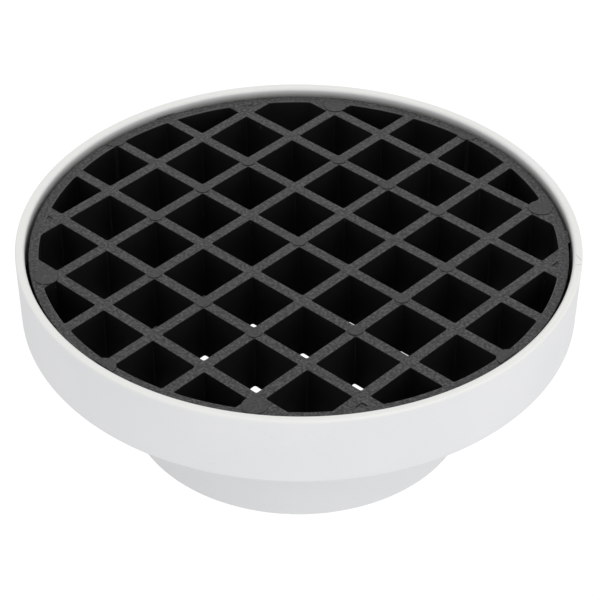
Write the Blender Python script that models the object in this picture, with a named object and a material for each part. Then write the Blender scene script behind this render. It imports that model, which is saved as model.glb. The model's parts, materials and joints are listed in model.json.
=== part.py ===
"""Floor-drain finishing collar with a drop-in lattice grate.

The collar is one turned shape: a wide rim, a level shoulder and a narrower spigot that
plugs into the drain pipe. The grate lies loose in the rim, on the shoulder, and lifts out.

Frame: origin at the centre of the spigot's end, +Z up along the drain's axis, and the
grate's bars run along X and Y. Metres.
"""

import math

import bmesh
import bpy
from mathutils import Matrix

MM = 0.001

# Collar
RIM_DIAMETER = 160.0 * MM        # outside, at the lip
RIM_WALL = 2.6 * MM
RIM_DRAFT = 0.4 * MM             # the rim's radius is this much less at its foot
SHOULDER_THICKNESS = 2.4 * MM
SPIGOT_DIAMETER = 101.0 * MM     # outside
SPIGOT_WALL = 3.0 * MM
SPIGOT_LENGTH = 39.6 * MM        # from its end to the underside of the shoulder
SPIGOT_CHAMFER = 0.9 * MM        # outer edge of the spigot's end
LIP_ROUND = 0.5 * MM             # outer edge of the lip
LIP_INNER_ROUND = 1.1 * MM       # inner edge of the lip, above the grate
FOOT_ROUND = 1.2 * MM            # outer edge where the rim meets the shoulder
ROOT_FILLET = 1.0 * MM           # under the shoulder, round the spigot
THROAT_ROUND = 1.0 * MM          # inner edge where the shoulder drops into the spigot

# Grate
GRATE_DEPTH = 16.8 * MM
GRATE_BELOW_LIP = 2.4 * MM       # from the lip down to the top of the bars
GRATE_SIDE_CLEARANCE = 1.0 * MM  # between the grate's rim and the collar's wall
GRATE_RIM_WIDTH = 2.8 * MM
GRATE_EDGE = 0.3 * MM            # chamfer on the outer edges of the grate's rim
BAR_PITCH = 19.2 * MM
BAR_WIDTH = 3.3 * MM
SMALLEST_OPENING = 3.0 * MM      # one that reaches less far than this in from the rim is left solid

# Ejector pads, moulded as columns that stand a little proud of the bars
PAD_DIAMETER = 4.2 * MM
EDGE_PAD_DIAMETER = 7.0 * MM
PAD_HEIGHT = 0.2 * MM            # above the bars
PAD_PLACES = ((0, 0), (2, 0), (0, 2), (1, 2), (2, 1))  # crossings, mirrored to all four quarters
CORNER_PAD_PLACES = ((2, 3),)    # directions of the pads in the corners next to the rim, mirrored too
CORNER_PAD_INSET = 1.5 * MM      # from the rim's inner edge in to the centre of a corner pad
RIM_PAD_PLACES = ((1, 0), (0, 1))  # directions of the pads on the rim, at the ends of the middle bars
RIM_PAD_REACH = 1.2 * MM         # how far a rim pad reaches in past the rim's inner edge

# Centring lugs on the grate's rim
LUG_COUNT = 3
LUG_WIDTH = 6.0 * MM
LUG_ANGLE = 45.0                 # degrees from +X to the first lug
LUG_CLEARANCE = 0.3 * MM         # between a lug's corners and the collar's wall

SEAT_GAP = 0.3 * MM              # between the grate and the shoulder it rests on
OVERRUN = 1.0 * MM               # how far a cutter runs past what it cuts
BURY = 0.3 * MM                  # how far a joined piece stays inside a face it would share

TURN_STEPS = 96
ROUND_STEPS = 3
PAD_STEPS = 24
SHARP_ANGLE = math.radians(30.0)

# Heights and radii that follow from the sizes above
rim_r = RIM_DIAMETER / 2
rim_inner_r = rim_r - RIM_WALL
spigot_r = SPIGOT_DIAMETER / 2
spigot_inner_r = spigot_r - SPIGOT_WALL
shoulder_z = SPIGOT_LENGTH + SHOULDER_THICKNESS
lip_z = shoulder_z + SEAT_GAP + GRATE_DEPTH + GRATE_BELOW_LIP
grate_r = rim_inner_r - GRATE_SIDE_CLEARANCE
lattice_r = grate_r - GRATE_RIM_WIDTH


def clear_scene():
    for obj in list(bpy.data.objects):
        bpy.data.objects.remove(obj, do_unlink=True)


def make_material(name, colour, roughness, metallic=0.0):
    material = bpy.data.materials.new(name)
    material.use_nodes = True
    shader = material.node_tree.nodes["Principled BSDF"]
    shader.inputs["Base Color"].default_value = (*colour, 1.0)
    shader.inputs["Roughness"].default_value = roughness
    shader.inputs["Metallic"].default_value = metallic
    return material


def add_object(name, bm, material=None):
    mesh = bpy.data.meshes.new(name)
    bm.to_mesh(mesh)
    bm.free()
    obj = bpy.data.objects.new(name, mesh)
    bpy.context.scene.collection.objects.link(obj)
    if material:
        mesh.materials.append(material)
    return obj


def make_cutter(obj, owner):
    """Keep an object as the operand of its owner's Boolean, and out of the built model."""
    obj.parent = owner
    obj.hide_render = True
    obj.display_type = "WIRE"
    return obj


def add_boolean(obj, operation, operand):
    cut = obj.modifiers.new(operation.title(), "BOOLEAN")
    cut.operation = operation
    cut.solver = "EXACT"
    cut.object = operand


def shade_round(obj):
    obj.data.shade_smooth()
    obj.data.set_sharp_from_angle(angle=SHARP_ANGLE)


def arc(centre_r, centre_z, radius, start, end):
    """Points of a round edge in the r-z plane, from one angle to another, in degrees."""
    points = []
    for step in range(ROUND_STEPS + 1):
        angle = math.radians(start + (end - start) * step / ROUND_STEPS)
        points.append((centre_r + radius * math.cos(angle), centre_z + radius * math.sin(angle)))
    return points


def collar_profile():
    """The collar's section: down the outer side, then back up the inner side."""
    foot_r = rim_r - RIM_DRAFT
    outline = arc(rim_r - LIP_ROUND, lip_z - LIP_ROUND, LIP_ROUND, 90, 0)
    outline += arc(foot_r - FOOT_ROUND, SPIGOT_LENGTH + FOOT_ROUND, FOOT_ROUND, 0, -90)
    outline += arc(spigot_r + ROOT_FILLET, SPIGOT_LENGTH - ROOT_FILLET, ROOT_FILLET, 90, 180)
    outline += [(spigot_r, SPIGOT_CHAMFER), (spigot_r - SPIGOT_CHAMFER, 0.0)]
    outline += [(spigot_inner_r, 0.0)]
    outline += arc(spigot_inner_r + THROAT_ROUND, shoulder_z - THROAT_ROUND, THROAT_ROUND, 180, 90)
    outline += [(rim_inner_r, shoulder_z)]
    outline += arc(rim_inner_r + LIP_INNER_ROUND, lip_z - LIP_INNER_ROUND, LIP_INNER_ROUND, 180, 90)
    return outline


def turned(name, outline, material=None):
    """A solid of revolution about Z from a closed r-z outline."""
    bm = bmesh.new()
    verts = [bm.verts.new((r, 0.0, z)) for r, z in outline]
    for here, there in zip(verts, verts[1:] + verts[:1]):
        bm.edges.new((here, there))
    obj = add_object(name, bm, material)
    screw = obj.modifiers.new("Turn", "SCREW")
    screw.steps = TURN_STEPS
    screw.render_steps = TURN_STEPS
    screw.use_merge_vertices = True
    screw.merge_threshold = 0.00001
    return obj


def add_prism(bm, sides, radius, low, high, x=0.0, y=0.0):
    """An upright round column in the bmesh, from low to high."""
    place = Matrix.Translation((x, y, (low + high) / 2))
    bmesh.ops.create_cone(
        bm, cap_ends=True, segments=sides, radius1=radius, radius2=radius, depth=high - low, matrix=place
    )


def add_block(bm, size, centre, turn=0.0):
    place = Matrix.Rotation(turn, 4, "Z") @ Matrix.Translation(centre) @ Matrix.Diagonal((*size, 1.0))
    bmesh.ops.create_cube(bm, size=1.0, matrix=place)


def lattice_openings():
    """Cutter for the square openings: a grid of blocks, trimmed to the inside of the rim."""
    opening = BAR_PITCH - BAR_WIDTH
    reach = math.ceil(lattice_r / BAR_PITCH)
    size = (opening, opening, GRATE_DEPTH + 2 * OVERRUN)
    bm = bmesh.new()
    for column in range(-reach, reach):
        for row in range(-reach, reach):
            x = (column + 0.5) * BAR_PITCH
            y = (row + 0.5) * BAR_PITCH
            nearest_corner = math.hypot(abs(x) - opening / 2, abs(y) - opening / 2)
            if nearest_corner < lattice_r - SMALLEST_OPENING:
                add_block(bm, size, (x, y, GRATE_DEPTH / 2))
    blocks = add_object("lattice_openings", bm)
    trim_to_radius(blocks, lattice_r)
    return blocks


def trim_to_radius(obj, radius):
    """Keep only what lies within a radius of the grate's axis."""
    bm = bmesh.new()
    add_prism(bm, TURN_STEPS, radius, -2 * OVERRUN, GRATE_DEPTH + 2 * OVERRUN)
    limit = make_cutter(add_object(obj.name + "_limit", bm), obj)
    add_boolean(obj, "INTERSECT", limit)


def in_all_quarters(places):
    """The places mirrored across X and Y, each once."""
    mirrored = {(sx * x, sy * y) for x, y in places for sx in (-1, 1) for sy in (-1, 1)}
    return sorted(mirrored)


def pad_columns():
    """The columns under all the pads, none of them past the chamfer on the grate's rim."""
    low = BURY
    high = GRATE_DEPTH + PAD_HEIGHT
    bm = bmesh.new()
    for column, row in in_all_quarters(PAD_PLACES):
        add_prism(bm, PAD_STEPS, PAD_DIAMETER / 2, low, high, column * BAR_PITCH, row * BAR_PITCH)
    corner_r = lattice_r - CORNER_PAD_INSET
    rim_pad_r = lattice_r - RIM_PAD_REACH + EDGE_PAD_DIAMETER / 2
    for places, centre_r in ((CORNER_PAD_PLACES, corner_r), (RIM_PAD_PLACES, rim_pad_r)):
        for column, row in in_all_quarters(places):
            share = centre_r / math.hypot(column, row)
            add_prism(bm, PAD_STEPS, EDGE_PAD_DIAMETER / 2, low, high, column * share, row * share)
    pads = add_object("pad_columns", bm)
    trim_to_radius(pads, grate_r - GRATE_EDGE - BURY)
    return pads


def centring_lugs():
    corner_r = rim_inner_r - LUG_CLEARANCE
    outer_r = math.sqrt(corner_r ** 2 - (LUG_WIDTH / 2) ** 2)
    inner_r = grate_r - GRATE_RIM_WIDTH / 2
    size = (outer_r - inner_r, LUG_WIDTH, GRATE_DEPTH - GRATE_EDGE)
    bm = bmesh.new()
    for index in range(LUG_COUNT):
        turn = math.radians(LUG_ANGLE + 360.0 * index / LUG_COUNT)
        add_block(bm, size, ((outer_r + inner_r) / 2, 0.0, GRATE_DEPTH / 2), turn)
    return add_object("centring_lugs", bm)


def grate_blank(material):
    """A plain disc with chamfered edges, standing on its own z = 0."""
    bm = bmesh.new()
    add_prism(bm, TURN_STEPS, grate_r, 0.0, GRATE_DEPTH)
    outer_edges = [e for e in bm.edges if abs(e.verts[0].co.z - e.verts[1].co.z) < GRATE_DEPTH / 2]
    bmesh.ops.bevel(bm, geom=outer_edges, offset=GRATE_EDGE, segments=1, affect="EDGES")
    return add_object("drain_grate", bm, material)


def build_collar():
    white = make_material("white_pvc", (0.80, 0.81, 0.82), 0.42)
    collar = turned("drain_collar", collar_profile(), white)
    shade_round(collar)
    return collar


def build_grate():
    black = make_material("black_plastic", (0.045, 0.045, 0.047), 0.55)
    grate = grate_blank(black)
    add_boolean(grate, "DIFFERENCE", make_cutter(lattice_openings(), grate))
    add_boolean(grate, "UNION", make_cutter(pad_columns(), grate))
    add_boolean(grate, "UNION", make_cutter(centring_lugs(), grate))
    grate.location.z = shoulder_z + SEAT_GAP
    shade_round(grate)
    return grate


clear_scene()
build_collar()
build_grate()
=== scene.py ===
# The look of a floor-drain collar with a loose lattice grate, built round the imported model.
# Everything is in metres, +Z up, and stands on z = 0.
import json
import math
import bmesh
import bpy
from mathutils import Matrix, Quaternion, Vector


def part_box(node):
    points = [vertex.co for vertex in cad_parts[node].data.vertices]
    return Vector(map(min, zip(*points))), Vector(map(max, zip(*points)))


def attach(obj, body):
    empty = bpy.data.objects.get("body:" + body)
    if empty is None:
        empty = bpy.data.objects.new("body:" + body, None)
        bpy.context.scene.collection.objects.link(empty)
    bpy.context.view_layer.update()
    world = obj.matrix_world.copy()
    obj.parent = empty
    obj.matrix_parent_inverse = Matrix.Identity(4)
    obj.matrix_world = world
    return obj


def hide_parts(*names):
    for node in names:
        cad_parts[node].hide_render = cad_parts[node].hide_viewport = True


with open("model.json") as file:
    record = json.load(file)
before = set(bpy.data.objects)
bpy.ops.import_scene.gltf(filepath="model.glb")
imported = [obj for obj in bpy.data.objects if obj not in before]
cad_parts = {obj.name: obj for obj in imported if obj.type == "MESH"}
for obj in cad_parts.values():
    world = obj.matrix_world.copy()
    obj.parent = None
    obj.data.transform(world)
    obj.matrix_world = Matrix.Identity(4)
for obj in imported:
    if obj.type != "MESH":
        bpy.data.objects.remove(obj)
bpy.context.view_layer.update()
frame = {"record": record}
mm = 0.001

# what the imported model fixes
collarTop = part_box("drain_collar")[1]
grateFoot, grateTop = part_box("drain_grate")
mounts = {mount["name"]: Vector(mount["pos_m"]) for mount in frame["record"]["mounts"]}
rimRadius = collarTop.x
lipHeight = collarTop.z
ledgeUnderside = mounts["shoulder_underside"].z
grateRadius = grateTop.x
padTop = grateTop.z

# what it doesn't hold, and both pieces need
padHeight = 0.2 * mm             # the grate's ejector pads stand this far above its bars
barTop = padTop - padHeight
creaseAngle = 32.0               # degrees; edges that turn further than this stay crisp


class Flow:
    # one socket of a finish: sums on it add the Math or Vector Math nodes that work them out
    def __init__(self, tree, socket=None):
        self.tree = tree
        self.socket = socket

    def node(self, kind, settings=None, inputs=None, output=0):
        made = self.tree.nodes.new("ShaderNode" + kind)
        for name, value in (settings or {}).items():
            setattr(made, name, value)
        for name, value in (inputs or {}).items():
            if isinstance(value, Flow):
                self.tree.links.new(value.socket, made.inputs[name])
            else:
                made.inputs[name].default_value = value
        return Flow(self.tree, made.outputs[output])

    def combine(self, operation, first, second):
        sides = [first, second]
        if any(isinstance(side, Flow) and side.socket.type == "VECTOR" for side in sides):
            sides = [side if isinstance(side, (Flow, tuple)) else (side, side, side) for side in sides]
            return self.node("VectorMath", {"operation": operation}, dict(enumerate(sides)))
        return self.node("Math", {"operation": operation}, dict(enumerate(sides)))

    def __add__(self, other):
        return self.combine("ADD", self, other)

    def __radd__(self, other):
        return self.combine("ADD", other, self)

    def __sub__(self, other):
        return self.combine("SUBTRACT", self, other)

    def __rsub__(self, other):
        return self.combine("SUBTRACT", other, self)

    def __mul__(self, other):
        return self.combine("MULTIPLY", self, other)

    def __rmul__(self, other):
        return self.combine("MULTIPLY", other, self)

    def __truediv__(self, other):
        return self.combine("DIVIDE", self, other)

    def __rtruediv__(self, other):
        return self.combine("DIVIDE", other, self)

    def __gt__(self, other):
        return self.combine("GREATER_THAN", self, other)

    def __lt__(self, other):
        return self.combine("LESS_THAN", self, other)

    def __abs__(self):
        return self.node("Math", {"operation": "ABSOLUTE"}, {0: self})


def rise(value, low, high):
    # 0 below low, 1 above high, and a smooth step between them
    limits = {"Value": value, "From Min": low, "From Max": high}
    return value.node("MapRange", {"interpolation_type": "SMOOTHSTEP"}, limits)


def near(value, centre, width):
    # 1 where value is at centre, fading to 0 at width to either side
    return 1.0 - rise(abs(value - centre), 0.0, width)


def noise(place, scale, detail=2.0, roughness=0.5):
    # clouds from 0 to 1, scale of them to the metre
    clouds = {"Vector": place, "Scale": scale, "Detail": detail, "Roughness": roughness}
    return place.node("TexNoise", {}, clouds)


def blend(share, first, second):
    # colours, from first at share 0 to second at share 1
    colours = [c if isinstance(c, Flow) else (*c, 1.0) for c in (first, second)]
    return share.node("Mix", {"data_type": "RGBA"}, {0: share, 6: colours[0], 7: colours[1]}, 2)


def specks(place, scale, size, share):
    # round dots, one at most in each cell of a scattered net, and only in that share of the cells
    radius = size * scale            # in cells
    solid = radius * 0.6             # the dot fades from here to its radius
    cells = {"Vector": place, "Scale": scale}
    distance = place.node("TexVoronoi", {}, cells, 0)
    colour = place.node("TexVoronoi", {}, cells, 1)
    pick = place.node("SeparateColor", {}, {0: colour}, 0)
    return (1.0 - rise(distance, solid, radius)) * (pick < share)


def scratches(place, direction, length, gap, share):
    # fine lines along a direction in degrees: thin level bands of a cloud that is drawn out lengthways
    bandWidth = 0.012                # of the cloud's range of 1
    patchesInLength = 0.6            # the lines come and go in patches of about this scale
    patchFade = 0.08
    turned = place.node("VectorRotate", {"rotation_type": "Z_AXIS"},
                        {"Vector": place, "Angle": math.radians(-direction)})
    drawn = noise(turned * (1.0 / length, 1.0 / gap, 1.0 / gap), 1.0, 1.0)
    patches = noise(turned, patchesInLength / length, 1.0)
    return near(drawn, 0.5, bandWidth) * rise(patches, 1.0 - share, 1.0 + patchFade - share)


def startFinish(name):
    # a new material, its shader, and the place on the piece in metres
    material = bpy.data.materials.new(name)
    material.use_nodes = True
    tree = material.node_tree
    shader = tree.nodes["Principled BSDF"]
    place = Flow(tree).node("TexCoord", {}, {}, "Object")
    return material, shader, place


def wear(shader, **sockets):
    # links or sets the shader's sockets; a height in metres becomes the surface's bump
    targets = {"colour": "Base Color", "roughness": "Roughness", "height": "Normal", "ior": "IOR"}
    for name, value in sockets.items():
        target = shader.inputs[targets[name]]
        if name == "height":
            value = value.node("Bump", {}, {"Height": value, "Strength": 1.0, "Distance": 1.0})
        if isinstance(value, Flow):
            value.tree.links.new(value.socket, target)
        else:
            target.default_value = value


def addPiece(name, bm, material, body, node):
    mesh = bpy.data.meshes.new(name)
    bm.to_mesh(mesh)
    bm.free()
    mesh.materials.append(material)
    piece = bpy.data.objects.new(name, mesh)
    bpy.context.scene.collection.objects.link(piece)
    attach(piece, body)
    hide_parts(node)
    return piece


def shadeRound(piece):
    # smooth, with true flats: the large faces lead the normals
    piece.data.shade_smooth()
    piece.data.set_sharp_from_angle(angle=math.radians(creaseAngle))
    weigh = piece.modifiers.new("trueFlats", "WEIGHTED_NORMAL")
    weigh.keep_sharp = True
    weigh.weight = 100               # the largest faces count most


def arcPoints(centre, radius, start, end, steps):
    # points on an arc, angles in degrees
    angles = [math.radians(start + (end - start) * step / steps) for step in range(steps + 1)]
    return [(centre[0] + radius * math.cos(a), centre[1] + radius * math.sin(a)) for a in angles]


collar = {
    "rimWall": 2.6 * mm,
    "rimDraft": 0.4 * mm,        # the rim is this much smaller in radius at its foot
    "ledge": 2.4 * mm,           # thickness of the level shoulder
    "spigotRadius": 50.5 * mm,
    "spigotWall": 3.0 * mm,
    "spigotChamfer": 0.9 * mm,
    "lipRound": 0.5 * mm,        # outer edge of the lip
    "lipInnerRound": 1.1 * mm,   # inner edge, above the grate
    "footRound": 1.2 * mm,
    "rootFillet": 1.0 * mm,
    "throatRound": 1.0 * mm,
    "cornerFillet": 0.35 * mm,   # inside, where the rim meets the shoulder
    "roundSteps": 8,
    "runStep": 1.8 * mm,         # longest piece of a straight run in the section
    "turnSteps": 288,
}


def collarSection():
    # the collar's closed outline, as (radius, height): down the outside, then up the inside
    lip = collar["lipRound"]
    lipInner = collar["lipInnerRound"]
    foot = collar["footRound"]
    root = collar["rootFillet"]
    throat = collar["throatRound"]
    corner = collar["cornerFillet"]
    chamfer = collar["spigotChamfer"]
    spigot = collar["spigotRadius"]
    bore = spigot - collar["spigotWall"]
    inner = rimRadius - collar["rimWall"]
    footRadius = rimRadius - collar["rimDraft"]
    ledgeTop = ledgeUnderside + collar["ledge"]
    steps = collar["roundSteps"]
    outline = arcPoints((rimRadius - lip, lipHeight - lip), lip, 90, 0, steps)
    outline += arcPoints((footRadius - foot, ledgeUnderside + foot), foot, 0, -90, steps)
    outline += arcPoints((spigot + root, ledgeUnderside - root), root, 90, 180, steps)
    outline += [(spigot, chamfer), (spigot - chamfer, 0.0), (bore, 0.0)]
    outline += arcPoints((bore + throat, ledgeTop - throat), throat, 180, 90, steps)
    outline += arcPoints((inner - corner, ledgeTop + corner), corner, -90, 0, steps)
    outline += arcPoints((inner + lipInner, lipHeight - lipInner), lipInner, 180, 90, steps)
    return outline


def refined(outline, step):
    # the same closed outline with its long straight runs cut into equal pieces
    fine = []
    for here, there in zip(outline, outline[1:] + outline[:1]):
        count = max(1, math.ceil(math.dist(here, there) / step))
        for part in range(count):
            share = part / count
            fine.append((here[0] + (there[0] - here[0]) * share, here[1] + (there[1] - here[1]) * share))
    return fine


def turnedMesh(section, steps):
    bm = bmesh.new()
    rings = []
    for step in range(steps):
        angle = math.tau * step / steps
        rings.append([bm.verts.new((r * math.cos(angle), r * math.sin(angle), z)) for r, z in section])
    for ring, following in zip(rings, rings[1:] + rings[:1]):
        for index in range(len(section)):
            before = index - 1
            bm.faces.new((ring[before], ring[index], following[index], following[before]))
    bmesh.ops.recalc_face_normals(bm, faces=bm.faces[:])
    return bm


whitePvc = {
    "colour": (0.785, 0.79, 0.80),
    "cloud": (0.765, 0.773, 0.783),       # the slow drift of the moulded colour
    "scuff": (0.66, 0.665, 0.66),
    "edge": (0.80, 0.805, 0.805),         # rubbed paler along the lip and the spigot's end
    "cornerDarkening": (0.60, 0.60, 0.575),         # darker in the inside corner above the shoulder, and round the spigot's root under it
    "grateShade": (0.25, 0.25, 0.235),          # painted shade and painted reflection of the black grate: a dark band on the rim's inner wall round the grate
    "grateShadeDepth": 6.0 * mm,                # how far down below the grate's top the band reaches
    "lip": (0.83, 0.825, 0.80),           # painted light: the lip's top painted paler and a little warmer, as light falls on it
    "cloudScale": 24.0,
    "fineCloudShare": 0.35,               # how much each mark shows, from 0 to 1
    "paintedLipLightShare": 0.85,
    "edgeShare": 0.5,
    "cornerDarkeningShare": 0.6,
    "scuffShare": 0.35,
    "dustShare": 0.5,
    "scuffs": ((20.0, 18 * mm, 0.7 * mm, 0.46),           # direction in degrees, length, gap, share
               (105.0, 14 * mm, 0.6 * mm, 0.42)),
    "wallScuffs": (64.0, 22 * mm, 0.5 * mm, 0.42),
    "dust": (260.0, 0.22 * mm, 0.10),     # cells to the metre, size, share of the cells
    "scuffDepth": 2e-6,
    "roughness": 0.40,
    "roughnessSpread": 0.16,
    "scuffRoughness": 0.12,               # added where each of these is
    "edgeRoughness": 0.06,
    "cornerRoughness": 0.2,
    "ior": 1.45,
    "grain": 7e-6,                        # heights of the surface's detail, in metres
    "grainScale": 1500.0,
    "wave": 22e-6,
    "waveScale": 70.0,
    "toolLine": 1.2e-6,
    "toolLineGap": 0.55 * mm,
    "mark": (0.56, 0.56, 0.54),           # the witness lines on the lip
    "markDepth": 25e-6,
    "markWidth": 0.24 * mm,
    "markLines": ((78.1, 36.2, 80.2, 33.9), (78.1, 32.6, 80.2, 33.3)),  # mm and degrees, end to end
}


def distanceToLine(place, line):
    # distance in plan from a straight line given by the radius (mm) and bearing (degrees) of its two ends
    ends = []
    for radius, bearing in (line[:2], line[2:]):
        angle = math.radians(bearing)
        ends.append(Vector((radius * mm * math.cos(angle), radius * mm * math.sin(angle), 0.0)))
    along = (ends[1] - ends[0]).normalized()
    across = Vector((-along.y, along.x, 0.0))
    lean = place.node("VectorMath", {"operation": "DOT_PRODUCT"}, {0: place, 1: tuple(across)}, 1)
    travel = place.node("VectorMath", {"operation": "DOT_PRODUCT"}, {0: place, 1: tuple(along)}, 1)
    middle = (ends[0] + ends[1]) / 2.0
    beyond = abs(travel - middle.dot(along)) - (ends[1] - ends[0]).length / 2.0
    off = abs(lean - ends[0].dot(across))
    return off.node("Math", {"operation": "MAXIMUM"}, {0: off, 1: beyond})


def makeWhitePvc():
    look = whitePvc
    material, shader, place = startFinish("whitePvc")
    parts = [place.node("SeparateXYZ", {}, {0: place}, axis) for axis in "XYZ"]
    height = parts[2]
    plan = place * (1.0, 1.0, 0.0)
    radius = place.node("VectorMath", {"operation": "LENGTH"}, {0: plan}, 1)

    clouds = noise(place, look["cloudScale"], 3.0)
    fineClouds = noise(place, look["cloudScale"] * 9.0, 3.0, 0.6)
    grain = noise(place, look["grainScale"], 3.0, 0.6)
    slowWave = noise(place, look["waveScale"], 1.0)
    rubbed = noise(place, 160.0, 4.0, 0.65)
    firstScuffs, otherScuffs = [scratches(place, *run) for run in look["scuffs"]]
    scuffs = firstScuffs + otherScuffs
    wallScuffs = scratches(place, *look["wallScuffs"])
    dust = specks(place, *look["dust"])

    wall = rimRadius - collar["rimWall"]         # the rim's inner wall
    lipEdge = near(radius, rimRadius, 0.9 * mm) + near(radius, wall, 0.7 * mm)
    lipEdge = lipEdge * rise(height, lipHeight - 0.9 * mm, lipHeight - 0.2 * mm)
    spigotEdge = 1.0 - rise(height, 0.3 * mm, 1.4 * mm)
    edges = (lipEdge + spigotEdge) * rise(rubbed, 0.35, 0.62)
    ledgeTop = ledgeUnderside + collar["ledge"]
    # darker and rougher in the inside corner above the shoulder, and at half strength round the spigot's
    # root under the shoulder
    corner = near(radius, wall, 2.2 * mm) * near(height, ledgeTop, 2.0 * mm)
    root = near(radius, collar["spigotRadius"], 2.4 * mm) * near(height, ledgeUnderside, 2.6 * mm)
    cornerDarkening = (corner + root * 0.5) * rise(rubbed, 0.38, 0.75)
    inside = 1.0 - rise(radius, wall + 0.2 * mm, wall + 0.6 * mm)
    # painted shade and painted reflection of the black grate: darkest at the grate's top, fading up towards
    # the lip and down below the grate
    grateShade = inside * rise(height, barTop - look["grateShadeDepth"], barTop - 0.5 * mm)
    grateShade = grateShade * (1.0 - rise(height, barTop - 0.3 * mm, lipHeight - 0.45 * mm))
    onLip = rise(height, lipHeight - 0.15 * mm, lipHeight - 0.02 * mm)
    lines = [distanceToLine(place, line) for line in look["markLines"]]
    nearest = lines[0].node("Math", {"operation": "MINIMUM"}, {0: lines[0], 1: lines[1]})
    marks = (1.0 - rise(nearest, 0.0, look["markWidth"])) * onLip

    colour = blend(rise(clouds, 0.38, 0.64), look["colour"], look["cloud"])
    colour = blend(rise(fineClouds, 0.45, 0.75) * look["fineCloudShare"], colour, look["cloud"])
    # painted light: the top of the collar, round the lip, painted paler and warmer
    nearLip = rise(height, lipHeight - 1.2 * mm, lipHeight - 0.3 * mm)
    colour = blend(nearLip * look["paintedLipLightShare"], colour, look["lip"])
    colour = blend(edges * look["edgeShare"], colour, look["edge"])
    colour = blend(cornerDarkening * look["cornerDarkeningShare"], colour, look["cornerDarkening"])
    colour = blend(grateShade * (0.75 + 0.25 * rubbed), colour, look["grateShade"])
    colour = blend((scuffs + wallScuffs) * look["scuffShare"], colour, look["scuff"])
    colour = blend(dust * look["dustShare"], colour, look["scuff"])
    colour = blend(marks, colour, look["mark"])

    along = radius + height          # runs along the section, so its level lines are rings round the axis
    rings = along.node("Math", {"operation": "SINE"}, {0: along * (math.tau / look["toolLineGap"])})
    roughness = look["roughness"] + (rubbed - 0.5) * look["roughnessSpread"]
    roughness = roughness + scuffs * look["scuffRoughness"] + edges * look["edgeRoughness"]
    roughness = roughness + cornerDarkening * look["cornerRoughness"]
    relief = grain * look["grain"] + slowWave * look["wave"] + rings * look["toolLine"]
    relief = relief - marks * look["markDepth"] - (scuffs + wallScuffs) * look["scuffDepth"]
    wear(shader, colour=colour, roughness=roughness, height=relief, ior=look["ior"])
    return material


section = refined(collarSection(), collar["runStep"])
collarShell = addPiece("collarShell", turnedMesh(section, collar["turnSteps"]), makeWhitePvc(),
                       "collar", "drain_collar")
shadeRound(collarShell)
print("collar turned:", len(collarShell.data.polygons), "faces")


grate = {
    "rimWidth": 2.8 * mm,
    "pitch": 19.2 * mm,
    "bar": 3.3 * mm,
    "cornerFillet": 0.45 * mm,   # in the corners of the openings
    "smallestOpening": 3.0 * mm, # one that reaches in from the rim by less is only a shallow pocket,
    "smallestPocket": 1.5 * mm,  # and by less than this nothing at all
    "pocketDepth": 0.35 * mm,
    "topRound": 0.18 * mm,
    "footRound": 0.1 * mm,
    "draft": 0.05 * mm,          # the openings are this much wider at the underside
    "roundSteps": 3,
    "filletSteps": 5,
    "arcStep": 1.5,              # degrees between points round the rim
    "padRound": 0.06 * mm,       # on the pads' top edges
    "padRadius": 2.1 * mm,
    "padPlaces": ((0, 0), (2, 0), (0, 2), (1, 2), (2, 1)),   # crossings, mirrored to all four quarters
    "edgePadRadius": 3.5 * mm,
    "cornerPadPlaces": ((2, 3),),                            # bearings, as pitches along X and Y
    "cornerPadInset": 1.5 * mm,
    "rimPadPlaces": ((1, 0), (0, 1)),
    "rimPadReach": 1.2 * mm,
    "padSteps": 48,
    "padFoot": 0.3 * mm,         # the pads' columns end this far above the underside,
    "padInset": 0.6 * mm,        # and are cut off this far inside the rim's outer wall
    "lugs": 3,
    "lugWidth": 6.0 * mm,
    "lugBearing": 45.0,
    "lugClearance": 0.3 * mm,
    "lugFillet": 0.4 * mm,
}
latticeRadius = grateRadius - grate["rimWidth"]


def sweep(start, end):
    # the end angle moved by whole turns so that it follows the start anticlockwise
    return start + (end - start) % 360.0


def crossing(inside, outside, radius):
    # where the line from a point inside a circle about the axis to one outside it meets the circle
    way = outside - inside
    a = way.dot(way)
    b = inside.dot(way)
    c = inside.dot(inside) - radius * radius
    return inside + way * ((math.sqrt(b * b - a * c) - b) / a)


def bearing(point):
    return math.degrees(math.atan2(point.y, point.x))


def openingArcs(column, row):
    # a square opening, clipped by the rim, as arcs (centre, radius, start, end) joined by straight runs.
    # The centres of its corner fillets are the corners of the same shape drawn in by the fillet's radius.
    fillet = grate["cornerFillet"]
    limit = latticeRadius - fillet
    half = (grate["pitch"] - grate["bar"]) / 2 - fillet
    middle = Vector((column + 0.5, row + 0.5)) * grate["pitch"]
    corners = [middle + Vector(way) * half for way in ((-1, -1), (1, -1), (1, 1), (-1, 1))]
    nearest = min(range(4), key=lambda index: corners[index].length)
    arcs = []
    for step in range(4):
        index = (nearest + step) % 4
        corner = corners[index]
        before = corners[index - 1]
        after = corners[(index + 1) % 4]
        arriving = 90.0 * index - 180.0      # which way the side before this corner faces
        leaving = arriving + 90.0
        if corner.length < limit:
            arcs.append((corner, fillet, arriving, leaving))
            continue
        if before.length < limit:
            left = crossing(before, corner, limit)
            arcs.append((left, fillet, arriving, sweep(arriving, bearing(left))))
            rimStart = bearing(left)
        if after.length < limit:
            back = crossing(after, corner, limit)
            arcs.append((Vector((0.0, 0.0)), latticeRadius, rimStart, sweep(rimStart, bearing(back))))
            arcs.append((back, fillet, bearing(back), sweep(bearing(back), leaving)))
    return arcs


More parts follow.
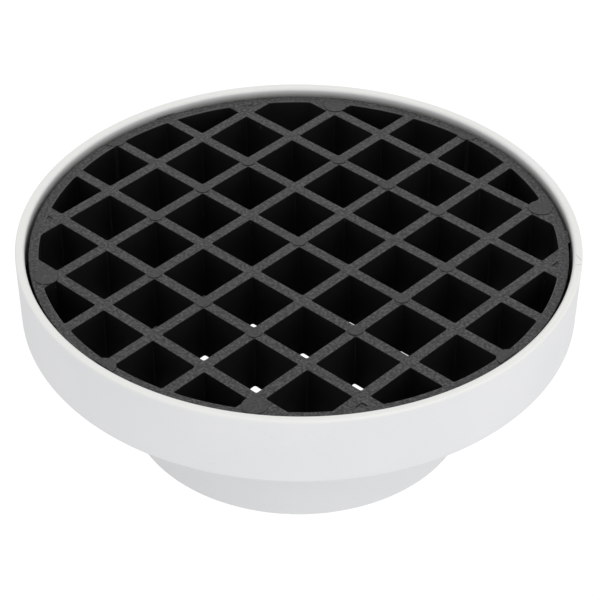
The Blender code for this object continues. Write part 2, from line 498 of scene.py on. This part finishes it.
def openings():
    # the arcs of the openings that go right through, and those of the pockets left of the smallest ones
    reach = math.ceil(latticeRadius / grate["pitch"])
    half = (grate["pitch"] - grate["bar"]) / 2
    through = []
    pockets = []
    for column in range(-reach, reach):
        for row in range(-reach, reach):
            nearestX = abs(column + 0.5) * grate["pitch"] - half
            nearestY = abs(row + 0.5) * grate["pitch"] - half
            inset = latticeRadius - math.hypot(nearestX, nearestY)
            if inset > grate["smallestOpening"]:
                through.append(openingArcs(column, row))
            elif inset > grate["smallestPocket"]:
                pockets.append(openingArcs(column, row))
    return through, pockets


def rimArcs():
    # the grate's outside: the round rim with its centring lugs. A radius below zero curves inwards.
    fillet = grate["lugFillet"]
    halfWidth = grate["lugWidth"] / 2
    wall = rimRadius - collar["rimWall"]
    reach = math.sqrt((wall - grate["lugClearance"]) ** 2 - halfWidth ** 2)
    rootOut = math.sqrt((grateRadius + fillet) ** 2 - (halfWidth + fillet) ** 2)
    rootAngle = math.degrees(math.atan2(halfWidth + fillet, rootOut))
    tip = fillet / 2
    arcs = []
    for index in range(grate["lugs"]):
        turn = grate["lugBearing"] + 360.0 * index / grate["lugs"]
        outward = Vector((math.cos(math.radians(turn)), math.sin(math.radians(turn))))
        across = Vector((-outward.y, outward.x))
        arcs.append((outward * rootOut - across * (halfWidth + fillet), -fillet,
                     turn - rootAngle + 180.0, turn + 90.0))
        arcs.append((outward * (reach - tip) - across * (halfWidth - tip), tip, turn - 90.0, turn))
        arcs.append((outward * (reach - tip) + across * (halfWidth - tip), tip, turn, turn + 90.0))
        arcs.append((outward * rootOut + across * (halfWidth + fillet), -fillet,
                     turn + 270.0, turn + rootAngle + 180.0))
        arcs.append((Vector((0.0, 0.0)), grateRadius, turn + rootAngle,
                     turn + 360.0 / grate["lugs"] - rootAngle))
    return arcs


def drawn(arcs, grow):
    # points of an outline moved out by grow: every arc keeps its centre, and its radius changes
    points = []
    for centre, radius, start, end in arcs:
        if radius < latticeRadius:
            points += arcPoints(centre, abs(radius + grow), start, end, grate["filletSteps"])
        else:      # an arc of the rim, whose ends are already the ends of the fillets beside it
            steps = math.ceil(abs(end - start) / grate["arcStep"]) + 1
            points += arcPoints(centre, radius + grow, start, end, steps)[1:-1]
    return points


def topLevels(inward):
    # (growth, height) down the rounded top edge of a wall; inward is -1 for the rim
    top = grate["topRound"]
    steps = grate["roundSteps"]
    levels = []
    for step in range(steps + 1):
        angle = math.radians(90.0 * step / steps)
        levels.append((inward * top * (1 - math.sin(angle)), barTop - top * (1 - math.cos(angle))))
    return levels


def edgeLevels(inward):
    # the same, and on down to the rounded edge at the wall's foot
    foot = grate["footRound"]
    steps = grate["roundSteps"]
    draft = grate["draft"]
    levels = topLevels(inward)
    for step in range(steps + 1):
        angle = math.radians(90.0 * step / steps)
        growth = inward * (draft + foot * (1 - math.cos(angle)))
        levels.append((growth, grateFoot.z + foot * (1 - math.sin(angle))))
    return levels


def stackRings(bm, rings):
    # a wall through rings of the same number of points; returns its first and last ring of vertices
    made = [[bm.verts.new(point) for point in ring] for ring in rings]
    for upper, lower in zip(made, made[1:]):
        for index in range(len(upper)):
            before = index - 1
            bm.faces.new((upper[before], upper[index], lower[index], lower[before]))
    return made[0], made[-1]


def ringEdges(bm, ring):
    return [bm.edges.get((ring[index - 1], ring[index])) for index in range(len(ring))]


def latticeMesh():
    bm = bmesh.new()
    topEdges = []
    footEdges = []
    through, pockets = openings()
    for arcs, inward in [(rimArcs(), -1)] + [(arcs, 1) for arcs in through]:
        rings = [[(x, y, z) for x, y in drawn(arcs, grow)] for grow, z in edgeLevels(inward)]
        top, foot = stackRings(bm, rings)
        topEdges += ringEdges(bm, top)
        footEdges += ringEdges(bm, foot)
    for arcs in pockets:
        levels = topLevels(1) + [(0.0, barTop - grate["pocketDepth"])]
        top, floor = stackRings(bm, [[(x, y, z) for x, y in drawn(arcs, grow)] for grow, z in levels])
        topEdges += ringEdges(bm, top)
        bm.faces.new(floor)
    bmesh.ops.triangle_fill(bm, use_beauty=True, edges=topEdges, normal=(0, 0, 1))
    bmesh.ops.triangle_fill(bm, use_beauty=True, edges=footEdges, normal=(0, 0, -1))
    bmesh.ops.recalc_face_normals(bm, faces=bm.faces[:])
    return bm


def padOutline(centre, radius, limit):
    # a round pad, cut off where it would pass the limit round the axis
    out = centre.length
    steps = grate["padSteps"]
    if out + radius < limit:
        return arcPoints(centre, radius, 0.0, 360.0 - 360.0 / steps, steps - 1)
    turn = bearing(centre)
    onPad = math.degrees(math.acos((limit ** 2 - out ** 2 - radius ** 2) / (2 * out * radius)))
    onLimit = math.degrees(math.acos((limit ** 2 + out ** 2 - radius ** 2) / (2 * out * limit)))
    outline = arcPoints(centre, radius, turn + onPad, turn + 360.0 - onPad, steps)
    return outline + arcPoints((0.0, 0.0), limit, turn - onLimit, turn + onLimit, steps // 4)[1:-1]


def inAllQuarters(places):
    return sorted({(sx * x, sy * y) for x, y in places for sx in (-1, 1) for sy in (-1, 1)})


def padMesh():
    # the ejector pads, as columns that stand a little above the bars
    radius = grate["edgePadRadius"]
    pads = []
    for place in inAllQuarters(grate["padPlaces"]):
        pads.append((Vector(place) * grate["pitch"], grate["padRadius"]))
    for place in inAllQuarters(grate["cornerPadPlaces"]):
        pads.append((Vector(place).normalized() * (latticeRadius - grate["cornerPadInset"]), radius))
    for place in inAllQuarters(grate["rimPadPlaces"]):
        pads.append((Vector(place).normalized() * (latticeRadius - grate["rimPadReach"] + radius), radius))
    limit = grateRadius - grate["padInset"]
    soft = grate["padRound"]
    bulge = soft * 0.3               # the rounded edge's middle lies this far in from its corner
    bm = bmesh.new()
    for centre, radius in pads:
        rings = []
        for shrink, z in ((soft, padTop), (bulge, padTop - bulge), (0.0, padTop - soft),
                          (0.0, grateFoot.z + grate["padFoot"])):
            rings.append([(x, y, z) for x, y in padOutline(centre, radius - shrink, limit - shrink)])
        top, foot = stackRings(bm, rings)
        bm.faces.new(top)
        bm.faces.new(foot)
    bmesh.ops.recalc_face_normals(bm, faces=bm.faces[:])
    return bm


def joinMesh(piece, bm):
    # a union with the solids in bm, worked out at once, so that the piece is one closed mesh
    mesh = bpy.data.meshes.new("joined")
    bm.to_mesh(mesh)
    bm.free()
    other = bpy.data.objects.new("joined", mesh)
    bpy.context.scene.collection.objects.link(other)
    join = piece.modifiers.new("join", "BOOLEAN")
    join.operation = "UNION"
    join.solver = "EXACT"
    join.object = other
    graph = bpy.context.evaluated_depsgraph_get()
    result = bpy.data.meshes.new_from_object(piece.evaluated_get(graph))
    piece.modifiers.clear()
    piece.data = result
    bpy.data.objects.remove(other)


blackPlastic = {
    "colour": (0.039, 0.039, 0.0395),
    "cloud": (0.046, 0.046, 0.046),
    "pitShade": (0.019, 0.019, 0.019),         # painted shade in the hollows of the textured top
    "peakHighlight": (0.083, 0.083, 0.084),        # painted highlight on its high spots
    "side": (0.002, 0.002, 0.002),        # painted shade: near black on the walls of the openings and on all that doesn't face up
    "dustAndGlint": (0.13, 0.13, 0.135),         # pale dust and nicks, and the painted highlight along the rim's inner edge
    "rub": (0.045, 0.045, 0.045),
    "roughness": 0.46,
    "sideRoughness": 0.12,                # added on the walls of the openings
    "spark": 34e-6,                       # height of the spark-eroded texture
    "sparkScale": 1250.0,
    "padRing": 5e-6,                      # turned rings on the pads' faces
    "padRingGap": 0.8 * mm,
    "padSmoothing": 0.6,                  # how much of the texture the pads lack
    "dust": ((520.0, 0.26 * mm, 0.06),    # cells to the metre, size, share of the cells
             (260.0, 0.42 * mm, 0.035)),
    "nicks": ((35.0, 9 * mm, 0.4 * mm, 0.44),     # direction in degrees, length, gap, share
              (128.0, 7 * mm, 0.4 * mm, 0.44)),
    "nickShare": 0.3,
    "nickDepth": 4e-6,
    "roughnessSpread": 0.2,
    "sparkRoughness": 0.12,
    "dustRoughness": 0.2,
    "ior": 1.36,
}


def makeBlackPlastic():
    look = blackPlastic
    material, shader, place = startFinish("blackPlastic")
    x, y, z = [place.node("SeparateXYZ", {}, {0: place}, axis) for axis in "XYZ"]

    clouds = noise(place, 60.0, 3.0, 0.6)
    spark = noise(place, look["sparkScale"], 2.0, 0.55)
    coarse = noise(place, look["sparkScale"] * 0.3, 2.0)
    rubbed = noise(place, 240.0, 4.0, 0.65)
    upward = place.node("SeparateXYZ", {}, {0: place.node("TexCoord", {}, {}, "Normal")}, "Z")
    onTop = rise(upward, 0.45, 0.9)
    onPad = rise(z, padTop - 0.08 * mm, padTop - 0.02 * mm)
    fineDust, coarseDust = [specks(place, *dots) for dots in look["dust"]]
    dust = fineDust + coarseDust
    firstNicks, otherNicks = [scratches(place, *run) for run in look["nicks"]]
    nicks = firstNicks + otherNicks

    pitch = grate["pitch"]
    sides = [u - pitch * u.node("Math", {"operation": "ROUND"}, {0: u / pitch}) for u in (x, y)]
    fromCrossing = x.node("Math", {"operation": "SQRT"}, {0: sides[0] * sides[0] + sides[1] * sides[1]})
    ringWave = x.node("Math", {"operation": "SINE"}, {0: fromCrossing * (math.tau / look["padRingGap"])})
    rings = ringWave * onPad * (fromCrossing < grate["padRadius"])

    colour = blend(rise(clouds, 0.35, 0.65), look["colour"], look["cloud"])
    rough = 1.0 - onPad * look["padSmoothing"]
    # painted shade in the texture's hollows and painted highlight on its high spots, following its relief;
    # weaker on the pads
    colour = blend((1.0 - rise(spark, 0.36, 0.5)) * rough, colour, look["pitShade"])
    colour = blend(rise(spark, 0.5, 0.64) * rough, colour, look["peakHighlight"])
    # painted shade: all that doesn't face up takes the near-black colour of the opening walls
    colour = blend(onTop, look["side"], colour)
    fromAxis = x.node("Math", {"operation": "SQRT"}, {0: x * x + y * y})
    # painted highlight: a pale line on the rounded inner edge of the rim, patchy with the rubbed cloud
    rimGlint = near(fromAxis, latticeRadius, 0.5 * mm) * rise(z, barTop - 0.5 * mm, barTop - 0.25 * mm)
    rimGlint = rimGlint * (1.0 - rise(upward, 0.95, 0.998))
    colour = blend(rimGlint * (0.4 + 0.6 * rubbed), colour, look["dustAndGlint"])
    colour = blend(nicks * look["nickShare"] * onTop, colour, look["rub"])
    colour = blend(dust * (0.35 + 0.65 * onTop), colour, look["dustAndGlint"])
    roughness = look["roughness"] + (rubbed - 0.5) * look["roughnessSpread"]
    roughness = roughness + (spark - 0.5) * look["sparkRoughness"] + dust * look["dustRoughness"]
    roughness = roughness + (1.0 - onTop) * look["sideRoughness"]
    relief = spark * look["spark"] + coarse * (look["spark"] * 0.8) + rings * look["padRing"]
    relief = relief - nicks * onTop * look["nickDepth"]
    wear(shader, colour=colour, roughness=roughness, height=relief, ior=look["ior"])
    return material


grateLattice = addPiece("grateLattice", latticeMesh(), makeBlackPlastic(),
                        "grate", "drain_grate")
joinMesh(grateLattice, padMesh())
shadeRound(grateLattice)
print("grate built:", len(grateLattice.data.polygons), "faces")


stage = {
    "floorSize": 6.0,
    "floorColour": (0.55, 0.55, 0.55),
    "floorGlow": 0.30,           # what the pale floor gives off outside the bore, which lifts the undersides
    "tableGlow": 1.05,           # the white that the camera sees in place of the floor
    "tableDrop": 0.1 * mm,       # and lies this far below it
    "sky": 0.875,
    "camera": {"azimuth": 42.5, "elevation": 37.98, "distance": 0.6147, "lens": 127.2, "roll": 0.36,
               "aim": (0.0003, 0.0003, 0.0381), "sensor": 36.0, "clipStart": 0.01},
    "softLights": {              # azimuth and elevation in degrees, distance, size, watts
        "rightSoft": (82.0, 35.0, 1.2, 0.8, 2.4),
        "frontSoft": (42.5, 15.0, 1.2, 0.8, 0.5),
    },
}


def backward(azimuth, elevation):
    # the way from what is looked at to the camera or a light; azimuth 0 is on the -Y side
    a = math.radians(azimuth)
    e = math.radians(elevation)
    return Vector((math.sin(a) * math.cos(e), -math.cos(a) * math.cos(e), math.sin(e)))


def makePlane(name, colour, glow, darkRadius):
    # a level sheet under the object, with its own matt colour, which glows outside the dark radius
    bm = bmesh.new()
    bmesh.ops.create_grid(bm, x_segments=1, y_segments=1, size=stage["floorSize"] / 2)
    mesh = bpy.data.meshes.new(name)
    bm.to_mesh(mesh)
    bm.free()
    plane = bpy.data.objects.new(name, mesh)
    bpy.context.scene.collection.objects.link(plane)
    material = bpy.data.materials.new(name)
    material.use_nodes = True
    shader = material.node_tree.nodes["Principled BSDF"]
    place = Flow(material.node_tree).node("TexCoord", {}, {}, "Object")
    fromAxis = place.node("VectorMath", {"operation": "LENGTH"}, {0: place}, 1)
    lit = blend(fromAxis > darkRadius, (0.0, 0.0, 0.0), (1.0, 1.0, 1.0))
    material.node_tree.links.new(lit.socket, shader.inputs["Emission Color"])
    shader.inputs["Base Color"].default_value = (*colour, 1.0)
    shader.inputs["Roughness"].default_value = 1.0
    shader.inputs["Specular IOR Level"].default_value = 0.0
    shader.inputs["Emission Strength"].default_value = glow
    mesh.materials.append(material)
    return plane


def makeFloor():
    # the floor lights the object from below, and the camera sees a white table in its place
    bore = collar["spigotRadius"] - collar["spigotWall"]
    floor = makePlane("paleFloor", stage["floorColour"], stage["floorGlow"], bore)
    floor.visible_camera = False
    table = makePlane("whiteTable", (0.0, 0.0, 0.0), stage["tableGlow"], 0.0)
    table.location.z = -stage["tableDrop"]
    table.visible_diffuse = False
    table.visible_glossy = False
    table.visible_transmission = False
    table.visible_shadow = False


def makeSky():
    world = bpy.data.worlds.new("softSky")
    world.use_nodes = True
    sky = world.node_tree.nodes["Background"]
    sky.inputs["Color"].default_value = (1.0, 1.0, 1.0, 1.0)
    sky.inputs["Strength"].default_value = stage["sky"]
    bpy.context.scene.world = world


def makeLights():
    aim = Vector(stage["camera"]["aim"])
    for name, (azimuth, elevation, distance, size, watts) in stage["softLights"].items():
        data = bpy.data.lights.new(name, "AREA")
        data.shape = "DISK"
        data.size = size
        data.energy = watts
        light = bpy.data.objects.new(name, data)
        bpy.context.scene.collection.objects.link(light)
        back = backward(azimuth, elevation)
        light.location = aim + back * distance
        light.rotation_mode = "QUATERNION"
        light.rotation_quaternion = (-back).to_track_quat("-Z", "Y")


def makeCamera():
    view = stage["camera"]
    data = bpy.data.cameras.new("camera")
    data.lens = view["lens"]
    data.sensor_width = view["sensor"]
    data.clip_start = view["clipStart"]
    camera = bpy.data.objects.new("camera", data)
    bpy.context.scene.collection.objects.link(camera)
    back = backward(view["azimuth"], view["elevation"])
    camera.location = Vector(view["aim"]) + back * view["distance"]
    camera.rotation_mode = "QUATERNION"
    level = (-back).to_track_quat("-Z", "Y")
    roll = Quaternion((0.0, 0.0, 1.0), math.radians(view["roll"]))
    camera.rotation_quaternion = level @ roll
    bpy.context.scene.camera = camera


makeFloor()
makeSky()
makeLights()
makeCamera()
bpy.context.scene.view_settings.view_transform = "Standard"
print("floor, light and camera set")
